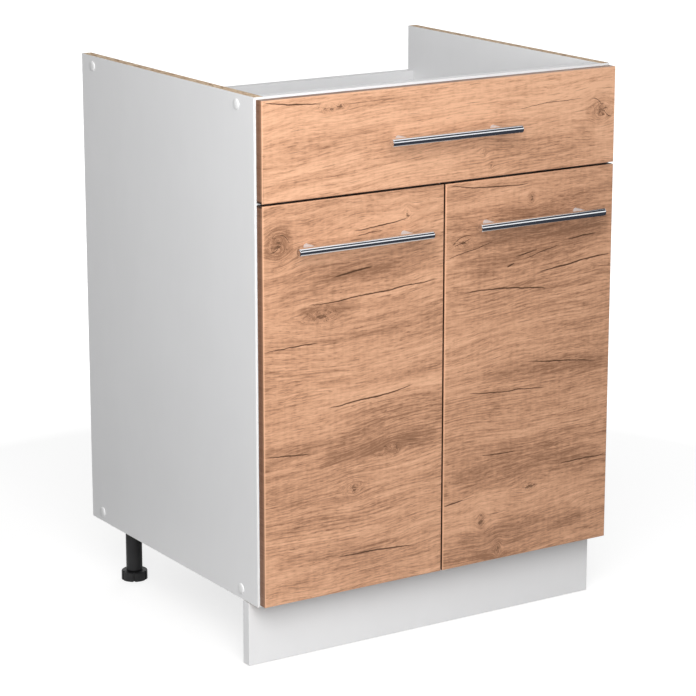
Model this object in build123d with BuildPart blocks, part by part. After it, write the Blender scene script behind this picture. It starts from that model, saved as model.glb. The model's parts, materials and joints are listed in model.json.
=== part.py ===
from build123d import *
from math import sqrt
import os

# Kitchen sink base cabinet: an open-topped carcass of white board on adjustable legs, with a fixed
# front that looks like a drawer, two doors on concealed hinges, bar handles and a clip-on plinth.
# Millimetres. +Z is up, +X is to the right seen from the front, and the doors face -Y.
# The origin is on the floor, under the middle of the cabinet with its handles.

# Carcass boards
cabinet_width = 600.0
side_height = 720.0
side_depth = 500.0
board = 16.0
edge_band = 0.8
side_lift = 96.0  # floor to the lower edge of the sides
bottom_rise = 7.0  # lower edge of the sides to the underside of the bottom board
rear_rail_height = 100.0
rear_rail_drop = 70.0  # top of the sides to the top of the rear rail
front_rail_lap = 20.0  # how far the front rail reaches down behind the doors

# Fronts
front_thickness = 16.0
front_gap = 2.0  # fronts to carcass
front_inset = 2.0  # fronts short of the carcass at each side
front_top_drop = 3.0  # top of the sides to the top of the drawer front
front_spacing = 3.0  # between neighbouring fronts
drawer_front_height = 140.0
door_bottom_rise = 4.0  # lower edge of the sides to the lower edge of the doors
front_rounding = 2.5

# Bar handles
bar_diameter = 12.0
bar_length = 220.0
bar_end_rounding = 1.2
post_diameter = 9.0
post_spacing = 160.0
handle_projection = 35.0  # front face to the far side of the bar
door_handle_drop = 62.0  # door top to the bar's axis
handle_screw_diameter = 4.0
handle_screw_bite = 9.0
handle_hole_clearance = 0.25
head_room_diameter = 12.0  # holes in the front rail for the handle screws' heads

# Concealed hinges. Places are (inward from the door's hinge edge, rearward from its rear face).
hinge_end_distance = 100.0  # door's top or bottom edge to a hinge
arm_pivot = (36.5, 6.6)
cup_pivot = (12.2, -3.3)
link_elbow = (26.0, -7.0)
pin_diameter = 2.5
pin_clearance = 0.05
knuckle_diameter = 5.2
link_thickness = 2.0
link_width = 12.6
cup_bore_diameter = 35.0
cup_bore_depth = 12.0
cup_setback = 22.5  # door edge to the cup's centre
cup_fit = 0.1
cup_wall = 1.1
cup_floor = 0.8
cup_flange = 0.8
cup_rim_width = 1.0
cup_pin_recess = 0.2  # pin's ends short of the cup's outside
cup_screw_spacing = 45.0
cup_screw_setback = 9.5  # cup's centre to the line of its screws
cup_wing_diameter = 12.0
arm_sheet = 1.2
arm_width = 16.4
arm_top = 33.0  # door edge to the arm's outer face
arm_tail = 69.0  # door's rear face to the arm's rear end
arm_neck = 22.0  # door's rear face to the start of the ears
arm_clear_of_plate = 1.5
ear_diameter = 8.0
plate_thickness = 3.0
plate_setback = 37.0  # carcass front to the plate's screws
plate_screw_spacing = 32.0
plate_wing_height = 46.0
plate_wing_depth = 16.0
plate_rib_width = 11.0
plate_rib_length = 40.0
plate_screw_bite = 11.0
arm_screw_bite = 10.0

# Screws, dowels and cam fittings
head_rounding = 0.6
recess_width = 1.0
recess_depth = 1.0
recess_rim = 1.4
screw_diameter = 3.0
screw_head_diameter = 6.4
screw_head_height = 1.6
screw_bite = 10.0
large_screw_diameter = 5.0
large_head_diameter = 7.6
large_head_height = 2.0
frame_screw_length = 40.0
frame_head_diameter = 10.0
frame_head_height = 3.5
frame_head_recess = 0.5
frame_neck_diameter = 7.0
frame_core_diameter = 5.0
frame_socket_width = 4.0
frame_socket_depth = 2.6
frame_screw_setback = 46.0  # carcass front to the front screws and caps
frame_screw_rear_setback = 34.0  # carcass rear to the rear screws and caps
upper_cap_drop = 15.0
cap_diameter = 15.0
cap_height = 2.2
cap_bevel_height = 1.2
cap_bevel_width = 3.0
cap_stem_diameter = 3.2
cap_stem_length = 2.4
upper_hole_diameter = 5.0
upper_hole_depth = 12.0
dowel_diameter = 8.0
dowel_length = 30.0
dowel_in_side = 11.0
dowel_inset = 25.0  # rail's edge to a dowel's axis
cam_diameter = 15.0
cam_depth = 12.5
cam_setback = 24.0  # rail's end to the cam's centre
cam_bolt_diameter = 6.0
cam_bolt_in_side = 11.0
cam_clearance = 0.2
spacer_diameter = 14.0
front_screw_spacing_x = 420.0
front_screw_spacing_z = 90.0
bumper_diameter = 8.0
bumper_inset = 14.0  # door's free edge to a bumper
bumper_clearance = 0.3

# Legs
leg_side_inset = 44.0  # outside of the carcass to a leg's axis
leg_rear_inset = 50.0
socket_flange_diameter = 52.0
socket_flange = 4.0
socket_boss_diameter = 33.0
socket_boss_height = 18.0
socket_screw_circle = 43.0
socket_screw_count = 3
tube_diameter = 25.0
tube_bore = 18.0
foot_diameter = 40.0
foot_height = 14.0
foot_rounding = 1.5
foot_play = 1.0  # foot to the end of its tube when it is screwed right in
foot_notch_count = 6
foot_notch_width = 2.5
foot_notch_depth = 3.5
stem_length = 45.0
stem_clearance = 0.1

# Plinth
plinth_setback = 26.0  # carcass front to the plinth's face
plinth_floor_gap = 1.0
plinth_top_gap = 1.0
clip_standoff = 22.0  # plinth's rear face to the front legs' axes
clip_base = 3.0
clip_base_width = 54.0
clip_width = 32.0
clip_height = 20.0
clip_level = 40.0
clip_reach = 6.0  # how far the clip's arms pass the leg's axis
clip_clearance = 0.3
clip_screw_spacing = 43.0

# Places worked out from the sizes above
half_width = cabinet_width / 2
inner_half = half_width - board
carcass_front = (front_gap + front_thickness + handle_projection - side_depth) / 2
carcass_rear = carcass_front + side_depth
board_front = carcass_front + edge_band
board_depth = carcass_rear - board_front
board_middle = (carcass_rear + board_front) / 2
fronts_rear = carcass_front - front_gap
fronts_face = fronts_rear - front_thickness
side_top = side_lift + side_height
bottom_under = side_lift + bottom_rise
bottom_middle = bottom_under + board / 2
drawer_front_top = side_top - front_top_drop
drawer_front_bottom = drawer_front_top - drawer_front_height
drawer_front_middle = (drawer_front_top + drawer_front_bottom) / 2
door_top = drawer_front_bottom - front_spacing
door_bottom = side_lift + door_bottom_rise
door_height = door_top - door_bottom
door_edge = half_width - front_inset
door_width = door_edge - front_spacing / 2
front_rail_bottom = door_top - front_rail_lap
rear_rail_top = side_top - rear_rail_drop
rear_rail_bottom = rear_rail_top - rear_rail_height
front_rail_middle = carcass_front + board / 2
rear_rail_middle = carcass_rear - board / 2
door_handle_level = door_top - door_handle_drop
bar_axis = fronts_face - handle_projection + bar_diameter / 2
hinge_levels = (door_bottom + hinge_end_distance, door_top - hinge_end_distance)
plate_y = carcass_front + plate_setback
side_face = door_edge - inner_half  # door edge to the side's inner face
arm_foot = side_face + plate_thickness + arm_clear_of_plate
rib_top = arm_top - arm_sheet
ear_radius = ear_diameter / 2
cup_shell = cup_bore_diameter - 2 * cup_fit
cup_pin_offset = cup_setback - cup_pivot[0] + pin_diameter / 2
cup_pin_length = 2 * (sqrt((cup_shell / 2) ** 2 - cup_pin_offset**2) - cup_pin_recess)
plinth_face = carcass_front + plinth_setback
plinth_rear = plinth_face + board
plinth_height = side_lift - plinth_top_gap - plinth_floor_gap
front_leg_y = plinth_rear + clip_standoff
rear_leg_y = carcass_rear - leg_rear_inset
leg_x = half_width - leg_side_inset
leg_places = {
    "front_left": (-leg_x, front_leg_y),
    "front_right": (leg_x, front_leg_y),
    "rear_left": (-leg_x, rear_leg_y),
    "rear_right": (leg_x, rear_leg_y),
}
socket_seat = bottom_under - socket_flange
frame_screw_rows = (carcass_front + frame_screw_setback, carcass_rear - frame_screw_rear_setback)
bottom_screw_places = [(y, bottom_middle) for y in frame_screw_rows]
upper_cap_places = [(y, side_top - upper_cap_drop) for y in frame_screw_rows]
front_rail_span = (front_rail_bottom, side_top)
rear_rail_span = (rear_rail_bottom, rear_rail_top)
rail_rows = ((front_rail_middle, front_rail_span), (rear_rail_middle, rear_rail_span))
dowel_places = [
    (y, level) for y, (low, high) in rail_rows for level in (low + dowel_inset, high - dowel_inset)
]
cam_bolt_places = [(y, (low + high) / 2) for y, (low, high) in rail_rows]
sides = {"left": -1, "right": 1}

os.makedirs("parts", exist_ok=True)


def save(piece, node):
    """Labels a finished piece and writes it to its own file."""
    piece.part.label = node
    export_step(piece.part, f"parts/{node}.step")


def upright(y):
    """The upright plane across the cabinet at depth y, in (x, z), that extrudes forwards."""
    return Plane.XZ.offset(-y)


def rounds(plane, places, diameter, amount, mode=Mode.ADD):
    """Round bars that run from a plane, or round holes with Mode.SUBTRACT."""
    with BuildSketch(plane) as outline:
        with Locations(*places):
            Circle(diameter / 2)
    extrude(outline.sketch, amount=amount, mode=mode)


def screw(head_diameter, head_height, shank_diameter, length):
    """One round-headed screw with a cross recess, its head seated on XY and its shank along -Z."""
    with BuildPart() as one:
        rounds(Plane.XY, [(0, 0)], head_diameter, head_height)
        fillet(one.faces().sort_by(Axis.Z)[-1].edges(), head_rounding)
        with BuildSketch(Plane.XY.offset(head_height)):
            Rectangle(head_diameter - 2 * recess_rim, recess_width)
            Rectangle(recess_width, head_diameter - 2 * recess_rim)
        extrude(amount=-recess_depth, mode=Mode.SUBTRACT)
        rounds(Plane.XY, [(0, 0)], shank_diameter, -length)
    return one.part


def group(node, shape, seats):
    """Copies of one shape on a list of planes, written as one node."""
    with BuildPart() as copies:
        with Locations(*seats):
            add(shape)
    save(copies, node)


def small_screws(node, seats, length):
    group(node, screw(screw_head_diameter, screw_head_height, screw_diameter, length), seats)


def large_screws(node, seats, length):
    group(node, screw(large_head_diameter, large_head_height, large_screw_diameter, length), seats)


def rear_seats(y, places):
    """Planes at depth y that face the rear, at a list of (x, z) places."""
    return [Plane(origin=(x, y, z), z_dir=(0, 1, 0)) for x, z in places]


def handle_places(x, level):
    return [(x - post_spacing / 2, level), (x + post_spacing / 2, level)]


def cup_places(hand):
    return [(hand * (door_edge - cup_setback), level) for level in hinge_levels]


def cup_screw_places(hand):
    x = hand * (door_edge - cup_setback - cup_screw_setback)
    half = cup_screw_spacing / 2
    return [(x, level + step) for level in hinge_levels for step in (-half, half)]


def plate_screw_places():
    half = plate_screw_spacing / 2
    return [(plate_y, level + step) for level in hinge_levels for step in (-half, half)]


def socket_screw_places():
    """A ring of screws round each leg, turned so that one of them is nearest the side."""
    places = []
    for x, y in leg_places.values():
        turn = 0 if x > 0 else 180
        ring = PolarLocations(socket_screw_circle / 2, socket_screw_count, start_angle=turn)
        places += [(x + step.position.X, y + step.position.Y) for step in ring.local_locations]
    return places


def side_panel(hand, node):
    """One side of the carcass, drilled for its screws, caps, dowels, cam bolts and hinge plates."""
    outer = Plane.YZ.offset(hand * half_width)
    inner = Plane.YZ.offset(hand * inner_half)
    with BuildPart() as panel:
        with Locations((hand * (half_width - board / 2), board_middle, side_lift + side_height / 2)):
            Box(board, board_depth, side_height)
        rounds(outer, bottom_screw_places, frame_neck_diameter, -hand * board, Mode.SUBTRACT)
        head_seat = frame_head_height + frame_head_recess
        rounds(outer, bottom_screw_places, frame_head_diameter, -hand * head_seat, Mode.SUBTRACT)
        rounds(outer, upper_cap_places, upper_hole_diameter, -hand * upper_hole_depth, Mode.SUBTRACT)
        rounds(inner, dowel_places, dowel_diameter, hand * dowel_in_side, Mode.SUBTRACT)
        rounds(inner, cam_bolt_places, cam_bolt_diameter, hand * cam_bolt_in_side, Mode.SUBTRACT)
        plate_holes = plate_screw_places()
        rounds(inner, plate_holes, large_screw_diameter, hand * plate_screw_bite, Mode.SUBTRACT)
    save(panel, node)


def rail(node, middle, span, cam_face, front_holes):
    """A rail between the sides. Its cams lie in the face that looks into the cabinet."""
    low, high = span
    dowel_levels = (low + dowel_inset, high - dowel_inset)
    cam_x = inner_half - cam_setback
    cam_level = (low + high) / 2
    with BuildPart() as bar:
        with Locations((0, middle, (low + high) / 2)):
            Box(2 * inner_half, board, high - low)
        for hand in sides.values():
            end = Plane.YZ.offset(hand * inner_half)
            depth = -hand * (dowel_length - dowel_in_side)
            rounds(end, [(middle, level) for level in dowel_levels], dowel_diameter, depth, Mode.SUBTRACT)
            rounds(end, [(middle, cam_level)], cam_bolt_diameter, -hand * cam_setback, Mode.SUBTRACT)
        inside = upright(middle + cam_face * board / 2)
        cam_places = [(-cam_x, cam_level), (cam_x, cam_level)]
        rounds(inside, cam_places, cam_diameter, cam_face * cam_depth, Mode.SUBTRACT)
        for places, diameter in front_holes:
            rounds(upright(middle + board / 2), places, diameter, board, Mode.SUBTRACT)
    save(bar, node)


def front_screw_places():
    x, z = front_screw_spacing_x / 2, front_screw_spacing_z / 2
    return [(i * x, drawer_front_middle + k * z) for i in (-1, 1) for k in (-1, 1)]


# Carcass boards

for side, hand in sides.items():
    side_panel(hand, f"{side}_side_panel")

with BuildPart() as bottom_panel:
    with Locations((0, board_middle, bottom_middle)):
        Box(2 * inner_half, board_depth, board)
    core_in_board = frame_screw_length - (board - frame_head_recess)
    for hand in sides.values():
        end = Plane.YZ.offset(hand * inner_half)
        rounds(end, bottom_screw_places, frame_core_diameter, -hand * core_in_board, Mode.SUBTRACT)
    rounds(
        Plane.XY.offset(bottom_under), socket_screw_places(), screw_diameter, screw_bite, Mode.SUBTRACT
    )
save(bottom_panel, "bottom_panel")

screw_clear = large_screw_diameter + 2 * handle_hole_clearance
front_rail_holes = [
    (front_screw_places(), screw_clear),
    (handle_places(0, drawer_front_middle), head_room_diameter),
]
rail("front_rail", front_rail_middle, front_rail_span, 1, front_rail_holes)
rail("rear_rail", rear_rail_middle, rear_rail_span, -1, [])

band_middle = carcass_front + edge_band / 2
for side, hand in sides.items():
    with BuildPart() as side_band:
        with Locations((hand * (half_width - board / 2), band_middle, side_lift + side_height / 2)):
            Box(board, edge_band, side_height)
    save(side_band, f"{side}_edge_band")

with BuildPart() as bottom_band:
    with Locations((0, band_middle, bottom_middle)):
        Box(2 * inner_half, edge_band, board)
save(bottom_band, "bottom_edge_band")

# Joints of the carcass

with BuildPart() as frame_screws:
    for hand in sides.values():
        top = hand * (half_width - frame_head_recess)
        neck = board - frame_head_recess
        rounds(Plane.YZ.offset(top), bottom_screw_places, frame_core_diameter, -hand * frame_screw_length)
        rounds(Plane.YZ.offset(top), bottom_screw_places, frame_neck_diameter, -hand * neck)
        rounds(Plane.YZ.offset(top), bottom_screw_places, frame_head_diameter, -hand * frame_head_height)
        with BuildSketch(Plane.YZ.offset(top)):
            with Locations(*bottom_screw_places):
                RegularPolygon(frame_socket_width / 2, 6, major_radius=False)
        extrude(amount=-hand * frame_socket_depth, mode=Mode.SUBTRACT)
save(frame_screws, "frame_screws")

with BuildPart() as cap:
    rounds(Plane.XY, [(0, 0)], cap_diameter, cap_height)
    top = cap.faces().sort_by(Axis.Z)[-1]
    chamfer(top.edges(), length=cap_bevel_width, length2=cap_bevel_height, reference=top)
    rounds(Plane.XY, [(0, 0)], cap_stem_diameter, -cap_stem_length)
cap_seats = [
    Plane(origin=(hand * half_width, y, z), z_dir=(hand, 0, 0))
    for hand in sides.values()
    for y, z in bottom_screw_places + upper_cap_places
]
group("screw_caps", cap.part, cap_seats)

with BuildPart() as rail_dowels:
    for hand in sides.values():
        outer_end = Plane.YZ.offset(hand * (inner_half + dowel_in_side))
        rounds(outer_end, dowel_places, dowel_diameter, -hand * dowel_length)
save(rail_dowels, "rail_dowels")

with BuildPart() as cam_bolts:
    for hand in sides.values():
        outer_end = Plane.YZ.offset(hand * (inner_half + cam_bolt_in_side))
        bolt_length = cam_bolt_in_side + cam_setback - cam_diameter / 2 - cam_clearance
        rounds(outer_end, cam_bolt_places, cam_bolt_diameter, -hand * bolt_length)
save(cam_bolts, "cam_bolts")

with BuildPart() as cam:
    rounds(Plane.XY, [(0, 0)], cam_diameter, -cam_depth)
    with BuildSketch(Plane.XY):
        Rectangle(cam_diameter - 4 * recess_rim, 2 * recess_width)
        Rectangle(2 * recess_width, cam_diameter - 4 * recess_rim)
    extrude(amount=-2 * recess_depth, mode=Mode.SUBTRACT)
cam_x = inner_half - cam_setback
cam_faces = (front_rail_middle + board / 2, 1), (rear_rail_middle - board / 2, -1)
cam_seats = [
    Plane(origin=(hand * cam_x, face, level), z_dir=(0, facing, 0))
    for (face, facing), (_, level) in zip(cam_faces, cam_bolt_places)
    for hand in sides.values()
]
group("cam_locks", cam.part, cam_seats)

# Fronts

with BuildPart() as drawer_front:
    with Locations((0, (fronts_rear + fronts_face) / 2, drawer_front_middle)):
        Box(2 * door_edge, front_thickness, drawer_front_height)
    fillet(drawer_front.faces().sort_by(Axis.Y)[0].edges(), front_rounding)
    handle_hole = handle_screw_diameter + 2 * handle_hole_clearance
    handle_holes = handle_places(0, drawer_front_middle)
    rounds(upright(fronts_rear), handle_holes, handle_hole, front_thickness, Mode.SUBTRACT)
    rounds(upright(fronts_rear), front_screw_places(), large_screw_diameter, screw_bite, Mode.SUBTRACT)
save(drawer_front, "drawer_front")

with BuildPart() as front_spacers:
    rounds(upright(carcass_front), front_screw_places(), spacer_diameter, front_gap)
    rounds(upright(carcass_front), front_screw_places(), screw_clear, front_gap, Mode.SUBTRACT)
save(front_spacers, "front_spacers")

front_screw_seats = rear_seats(carcass_front + board, front_screw_places())
large_screws("front_screws", front_screw_seats, board + front_gap + screw_bite)


def door(hand, node):
    """One door, bored for its two hinge cups, their screws and its handle."""
    x_middle = hand * (door_edge - door_width / 2)
    rear = upright(fronts_rear)
    with BuildPart() as leaf:
        with Locations((x_middle, (fronts_rear + fronts_face) / 2, (door_bottom + door_top) / 2)):
            Box(door_width, front_thickness, door_height)
        fillet(leaf.faces().sort_by(Axis.Y)[0].edges(), front_rounding)
        rounds(rear, cup_places(hand), cup_bore_diameter, cup_bore_depth, Mode.SUBTRACT)
        rounds(rear, cup_screw_places(hand), screw_diameter, screw_bite, Mode.SUBTRACT)
        holes = handle_places(x_middle, door_handle_level)
        rounds(rear, holes, handle_hole, front_thickness, Mode.SUBTRACT)
    save(leaf, node)


def bumpers(hand, node):
    """Soft dots on a door's rear face, where it closes on the front rail and the bottom board."""
    x = hand * (front_spacing / 2 + bumper_inset)
    places = [(x, bottom_middle), (x, door_top - front_rail_lap / 2)]
    with BuildPart() as dots:
        rounds(upright(fronts_rear), places, bumper_diameter, bumper_clearance - front_gap)
    save(dots, node)


def handle(x, level, name):
    """A bar on two posts, and the screws that hold the posts from behind the front."""
    places = handle_places(x, level)
    bar_end = Plane.YZ.offset(x - bar_length / 2)
    with BuildPart() as bar:
        rounds(bar_end, [(bar_axis, level)], bar_diameter, bar_length)
        fillet(bar.edges().filter_by(GeomType.CIRCLE), bar_end_rounding)
    save(bar, f"{name}_handle_bar")
    with BuildPart() as posts:
        rounds(upright(fronts_face), places, post_diameter, fronts_face - bar_axis)
        rounds(bar_end, [(bar_axis, level)], bar_diameter, bar_length, Mode.SUBTRACT)
        rounds(upright(fronts_face), places, handle_screw_diameter, handle_screw_bite, Mode.SUBTRACT)
    save(posts, f"{name}_handle_posts")
    length = front_thickness + handle_screw_bite
    shape = screw(large_head_diameter, large_head_height, handle_screw_diameter, length)
    group(f"{name}_handle_screws", shape, rear_seats(fronts_rear, places))


handle(0, drawer_front_middle, "drawer")
for side, hand in sides.items():
    door(hand, f"{side}_door")
    bumpers(hand, f"{side}_door_bumpers")
    handle(hand * (door_edge - door_width / 2), door_handle_level, f"{side}_door")


# Concealed hinges, an upper and a lower one on each door


def hinge_plane(hand, level):
    """The level plane through a hinge, in (inward from the door's edge, rearward from the door)."""
    return Plane(
        origin=(hand * door_edge, fronts_rear, level), x_dir=(-hand, 0, 0), z_dir=(0, 0, -hand)
    )


def hinge_cups(hand, node):
    """Cups let into the door, with a flange for two screws and holes for the link's pin."""
    rear = upright(fronts_rear)
    centres = cup_places(hand)
    hollow = cup_shell - 2 * cup_wall
    depth = cup_bore_depth - cup_fit
    wing_x = -hand * cup_screw_setback
    with BuildPart() as cups:
        rounds(rear, centres, cup_shell, depth)
        with BuildSketch(rear):
            with Locations(*centres):
                Circle(cup_shell / 2 + cup_rim_width)
            with Locations(*[(x + wing_x, level) for x, level in centres]):
                SlotCenterToCenter(cup_screw_spacing, cup_wing_diameter, rotation=90)
        extrude(amount=-cup_flange)
        mouth = upright(fronts_rear + cup_flange)
        rounds(mouth, centres, hollow, cup_flange + depth - cup_floor, Mode.SUBTRACT)
        rounds(rear, cup_screw_places(hand), screw_diameter, -cup_flange, Mode.SUBTRACT)
        for level in hinge_levels:
            with BuildSketch(hinge_plane(hand, level)):
                with Locations(cup_pivot):
                    Circle(pin_diameter / 2)
            extrude(amount=cup_bore_diameter / 2, both=True, mode=Mode.SUBTRACT)
    save(cups, node)


def hinge_pins(hand, node, pivot, length):
    with BuildPart() as pins:
        for level in hinge_levels:
            with BuildSketch(hinge_plane(hand, level)):
                with Locations(pivot):
                    Circle(pin_diameter / 2)
            extrude(amount=length / 2, both=True)
    save(pins, node)


def hinge_links(hand, node):
    """Bent links that carry the door from the pin in the arm to the pin in the cup."""
    with BuildPart() as links:
        for level in hinge_levels:
            with BuildSketch(hinge_plane(hand, level)):
                with Locations(arm_pivot, cup_pivot):
                    Circle(knuckle_diameter / 2)
                for pivot in (arm_pivot, cup_pivot):
                    middle = (Vector(pivot) + Vector(link_elbow)) / 2
                    SlotCenterPoint(middle, link_elbow, link_thickness)
                with Locations(arm_pivot, cup_pivot):
                    Circle(pin_diameter / 2 + pin_clearance, mode=Mode.SUBTRACT)
            extrude(amount=link_width / 2, both=True)
    save(links, node)


def hinge_arms(hand, node):
    """Folded arms that sit over the mounting plates and carry the links' pins in two ears."""
    ear_tip, ear_level = arm_pivot
    far_ear = ear_tip + ear_radius
    below_ear = ear_level - ear_radius - arm_sheet
    outline = [
        (arm_foot, arm_tail),
        (arm_top, arm_tail),
        (arm_top, arm_neck),
        (far_ear, ear_level),
        (ear_tip - ear_radius, ear_level),
        (arm_foot, arm_neck),
    ]
    channel = [
        (arm_foot - arm_sheet, arm_tail + arm_sheet),
        (rib_top, arm_tail + arm_sheet),
        (rib_top, arm_neck),
        (far_ear + arm_sheet, arm_neck),
        (far_ear + arm_sheet, below_ear),
        (arm_foot - arm_sheet, below_ear),
    ]
    with BuildPart() as arms:
        for level in hinge_levels:
            with BuildSketch(hinge_plane(hand, level)):
                with BuildLine():
                    Polyline(*outline, close=True)
                make_face()
                with Locations(arm_pivot):
                    Circle(ear_radius)
                    Circle(pin_diameter / 2, mode=Mode.SUBTRACT)
            extrude(amount=arm_width / 2, both=True)
            with BuildSketch(hinge_plane(hand, level)):
                with BuildLine():
                    Polyline(*channel, close=True)
                make_face()
            extrude(amount=arm_width / 2 - arm_sheet, both=True, mode=Mode.SUBTRACT)
        outer = Plane.YZ.offset(hand * (door_edge - arm_top))
        places = [(plate_y, level) for level in hinge_levels]
        rounds(outer, places, large_screw_diameter, hand * arm_sheet, Mode.SUBTRACT)
    save(arms, node)


def mounting_plates(hand, node):
    """Plates screwed to the side, each with a rib that the arm is clamped to."""
    rib_height = rib_top - side_face
    arm_side = Plane.YZ.offset(hand * (door_edge - rib_top))
    face = Plane.YZ.offset(hand * (inner_half - plate_thickness))
    with BuildPart() as plates:
        for level in hinge_levels:
            with Locations((hand * (inner_half - plate_thickness / 2), plate_y, level)):
                Box(plate_thickness, plate_wing_depth, plate_wing_height)
            with Locations((hand * (inner_half - rib_height / 2), plate_y, level)):
                Box(rib_height, plate_rib_length, plate_rib_width)
        arm_places = [(plate_y, level) for level in hinge_levels]
        rounds(arm_side, arm_places, large_screw_diameter, hand * arm_screw_bite, Mode.SUBTRACT)
        plate_places = plate_screw_places()
        rounds(face, plate_places, large_screw_diameter, hand * plate_thickness, Mode.SUBTRACT)
    save(plates, node)


for side, hand in sides.items():
    hinge_cups(hand, f"{side}_hinge_cups")
    hinge_links(hand, f"{side}_hinge_links")
    hinge_arms(hand, f"{side}_hinge_arms")
    mounting_plates(hand, f"{side}_mounting_plates")
    hinge_pins(hand, f"{side}_cup_pins", cup_pivot, cup_pin_length)
    hinge_pins(hand, f"{side}_arm_pins", arm_pivot, arm_width)
    cup_seats = rear_seats(fronts_rear + cup_flange, cup_screw_places(hand))
    small_screws(f"{side}_cup_screws", cup_seats, cup_flange + screw_bite)
    plate_seats = [
        Plane(origin=(hand * (inner_half - plate_thickness), y, z), z_dir=(-hand, 0, 0))
        for y, z in plate_screw_places()
    ]
    large_screws(f"{side}_plate_screws", plate_seats, plate_thickness + plate_screw_bite)
    arm_seats = [
        Plane(origin=(hand * (door_edge - arm_top), plate_y, level), z_dir=(-hand, 0, 0))
        for level in hinge_levels
    ]
    large_screws(f"{side}_arm_screws", arm_seats, arm_sheet + arm_screw_bite)

# Legs

with BuildPart() as leg_sockets:
    rounds(Plane.XY.offset(bottom_under), leg_places.values(), socket_flange_diameter, -socket_flange)
    rounds(Plane.XY.offset(socket_seat), leg_places.values(), socket_boss_diameter, -socket_boss_height)
    rounds(
        Plane.XY.offset(socket_seat),
        leg_places.values(),
        tube_diameter,
        -socket_boss_height,
        Mode.SUBTRACT,
    )
    rounds(
        Plane.XY.offset(bottom_under),
        socket_screw_places(),
        screw_diameter,
        -socket_flange,
        Mode.SUBTRACT,
    )
save(leg_sockets, "leg_sockets")

socket_screw_seats = [
    Plane(origin=(x, y, socket_seat), z_dir=(0, 0, -1)) for x, y in socket_screw_places()
]
small_screws("leg_socket_screws", socket_screw_seats, socket_flange + screw_bite)

tube_bottom = foot_height + foot_play
with BuildPart() as leg_tubes:
    rounds(Plane.XY.offset(socket_seat), leg_places.values(), tube_diameter, tube_bottom - socket_seat)
    rounds(
        Plane.XY.offset(socket_seat),
        leg_places.values(),
        tube_bore,
        tube_bottom - socket_seat,
        Mode.SUBTRACT,
    )
save(leg_tubes, "leg_tubes")


def foot(place, node):
    """A notched foot on a stem that runs in its leg's tube."""
    with BuildPart() as pad:
        rounds(Plane.XY, [place], foot_diameter, foot_height)
        fillet(pad.faces().sort_by(Axis.Z)[-1].edges(), foot_rounding)
        with BuildSketch(Plane.XY):
            with Locations(place):
                with PolarLocations(foot_diameter / 2, foot_notch_count):
                    Rectangle(2 * foot_notch_depth, foot_notch_width)
        extrude(amount=foot_height, mode=Mode.SUBTRACT)
        stem_diameter = tube_bore - 2 * stem_clearance
        rounds(Plane.XY.offset(foot_height), [place], stem_diameter, stem_length)
    save(pad, node)


for corner, place in leg_places.items():
    foot(place, f"{corner}_foot")

# Plinth

plinth_clip_level = clip_level + clip_height / 2
clip_xs = [x for x, y in leg_places.values() if y == front_leg_y]
clip_screw_places = [
    (x + turn * clip_screw_spacing / 2, plinth_clip_level) for x in clip_xs for turn in (-1, 1)
]

with BuildPart() as plinth:
    with Locations((0, plinth_face + board / 2, plinth_floor_gap + plinth_height / 2)):
        Box(cabinet_width, board, plinth_height)
    rounds(upright(plinth_rear), clip_screw_places, screw_diameter, screw_bite, Mode.SUBTRACT)
save(plinth, "plinth")

with BuildPart() as plinth_clips:
    slot = tube_diameter + 2 * clip_clearance
    arm_end = front_leg_y + clip_reach
    for x in clip_xs:
        with BuildSketch(Plane.XY.offset(clip_level)):
            with Locations((x, plinth_rear + clip_base / 2)):
                Rectangle(clip_base_width, clip_base)
            with Locations((x, (plinth_rear + arm_end) / 2)):
                Rectangle(clip_width, arm_end - plinth_rear)
            with Locations((x, front_leg_y)):
                Circle(slot / 2, mode=Mode.SUBTRACT)
            with Locations((x, front_leg_y + clip_reach / 2)):
                Rectangle(slot, clip_reach, mode=Mode.SUBTRACT)
        extrude(amount=clip_height)
    clip_rear = plinth_rear + clip_base
    rounds(upright(clip_rear), clip_screw_places, screw_diameter, clip_base, Mode.SUBTRACT)
save(plinth_clips, "plinth_clips")

small_screws("plinth_clip_screws", rear_seats(clip_rear, clip_screw_places), clip_base + screw_bite)
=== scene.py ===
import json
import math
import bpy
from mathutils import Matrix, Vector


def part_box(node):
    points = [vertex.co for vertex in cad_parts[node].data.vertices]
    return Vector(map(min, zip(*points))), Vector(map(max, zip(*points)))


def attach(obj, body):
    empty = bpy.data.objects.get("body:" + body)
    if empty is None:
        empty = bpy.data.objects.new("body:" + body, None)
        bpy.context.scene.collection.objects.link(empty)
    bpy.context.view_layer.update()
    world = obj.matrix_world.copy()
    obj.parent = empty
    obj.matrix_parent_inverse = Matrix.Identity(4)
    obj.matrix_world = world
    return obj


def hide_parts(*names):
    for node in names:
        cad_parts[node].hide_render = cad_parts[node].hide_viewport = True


bl_info = {
    "name": "Kitchen Base Cabinet",
    "version": (1, 0, 0),
    "blender": (4, 5, 0),
    "location": "View3D > Sidebar > Cabinet",
    "description": "Finishes a kitchen base cabinet piece by piece, with its studio stage",
    "category": "Object",
}

from functools import cache

import bmesh
import bpy
from bpy.props import FloatProperty, FloatVectorProperty, IntProperty, PointerProperty
from mathutils import Vector

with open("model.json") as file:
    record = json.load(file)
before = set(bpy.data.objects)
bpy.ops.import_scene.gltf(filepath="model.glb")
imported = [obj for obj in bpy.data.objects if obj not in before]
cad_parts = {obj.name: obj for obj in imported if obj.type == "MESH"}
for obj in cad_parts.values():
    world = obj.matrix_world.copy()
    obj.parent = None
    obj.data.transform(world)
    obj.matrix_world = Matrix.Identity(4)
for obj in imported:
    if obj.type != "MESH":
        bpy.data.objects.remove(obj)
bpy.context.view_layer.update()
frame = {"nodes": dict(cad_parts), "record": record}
RECORD = frame["record"]
BODY_OF = {node: body for body, nodes in RECORD["behaviour"]["bodies"].items() for node in nodes}

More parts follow.
